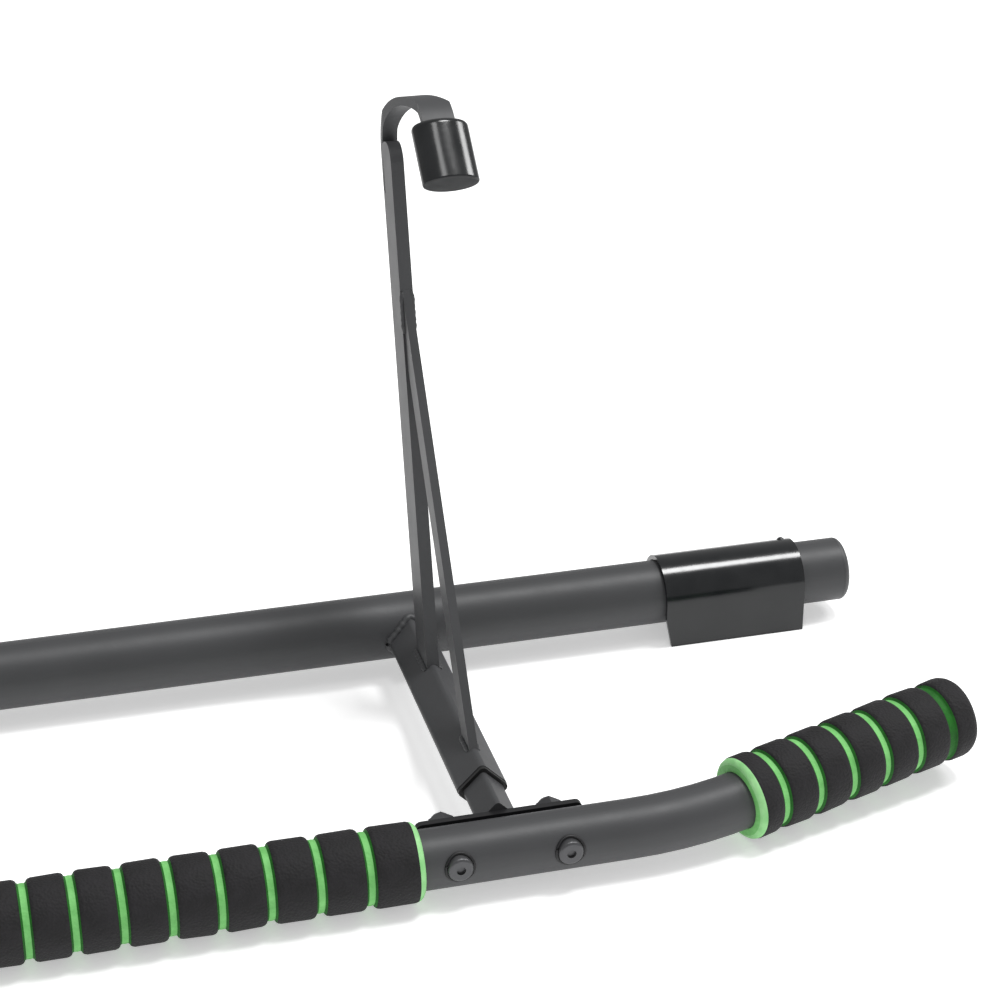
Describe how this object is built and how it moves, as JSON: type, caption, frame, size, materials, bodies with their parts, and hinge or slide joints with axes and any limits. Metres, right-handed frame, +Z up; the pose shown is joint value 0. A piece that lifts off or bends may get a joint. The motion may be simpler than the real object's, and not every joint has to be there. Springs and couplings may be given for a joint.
{
  "type": "doorway pull-up bar",
  "caption": "Doorway pull-up bar: a long tube with sliding door pads, socket arms with braced uprights and padded hooks, and a swept grip bar with ribbed foam grips.",
  "frame": {"origin": "on the floor, in the middle of the object's box", "axes": "+X along the long bar, +Y from the grip bar towards the long bar, +Z up"},
  "size_m": [0.9582, 0.2302, 0.2915],
  "materials": {
    "powder_coat": "satin",
    "gloss_sleeve": "gloss",
    "cap_plastic": "satin",
    "bush_plastic": "satin",
    "plate_black": "satin",
    "bolt_steel": "satin",
    "foam": "matte"
  },
  "bodies": {
    "rear_frame": {"long_bar": "powder_coat", "long_bar_end_plug_left": "cap_plastic", "long_bar_end_plug_right": "cap_plastic", "arm_socket_tube_left": "powder_coat", "arm_socket_tube_right": "powder_coat", "arm_bush_left": "bush_plastic", "arm_bush_right": "bush_plastic", "upright_left": "powder_coat", "upright_right": "powder_coat", "brace_left": "powder_coat", "brace_right": "powder_coat", "hook_strap_left": "powder_coat", "hook_strap_right": "powder_coat", "hook_cover_left": "gloss_sleeve", "hook_cover_right": "gloss_sleeve"},
    "front_bar": {"grip_bar": "powder_coat", "saddle_bolts": "bolt_steel", "saddle_nuts": "bolt_steel", "centre_foam_grip": "foam", "grip_bar_end_plug_left": "cap_plastic", "grip_bar_end_plug_right": "cap_plastic", "saddle_plate_left": "plate_black", "saddle_plate_right": "plate_black", "saddle_stub_left": "powder_coat", "saddle_stub_right": "powder_coat", "end_foam_grip_left": "foam", "end_foam_grip_right": "foam"},
    "door_pad_left": {"door_pad_left": "gloss_sleeve"},
    "door_pad_right": {"door_pad_right": "gloss_sleeve"}
  },
  "joints": [
    {"name": "front_bar_slide", "type": "slide", "parent": "rear_frame", "child": "front_bar", "axis": [0, -1, 0], "range_m": [0, 0.05]},
    {"name": "door_pad_left_slide", "type": "slide", "parent": "rear_frame", "child": "door_pad_left", "axis": [-1, 0, 0], "range_m": [-0.1, 0.022]},
    {"name": "door_pad_right_slide", "type": "slide", "parent": "rear_frame", "child": "door_pad_right", "axis": [1, 0, 0], "range_m": [-0.1, 0.022]}
  ]
}
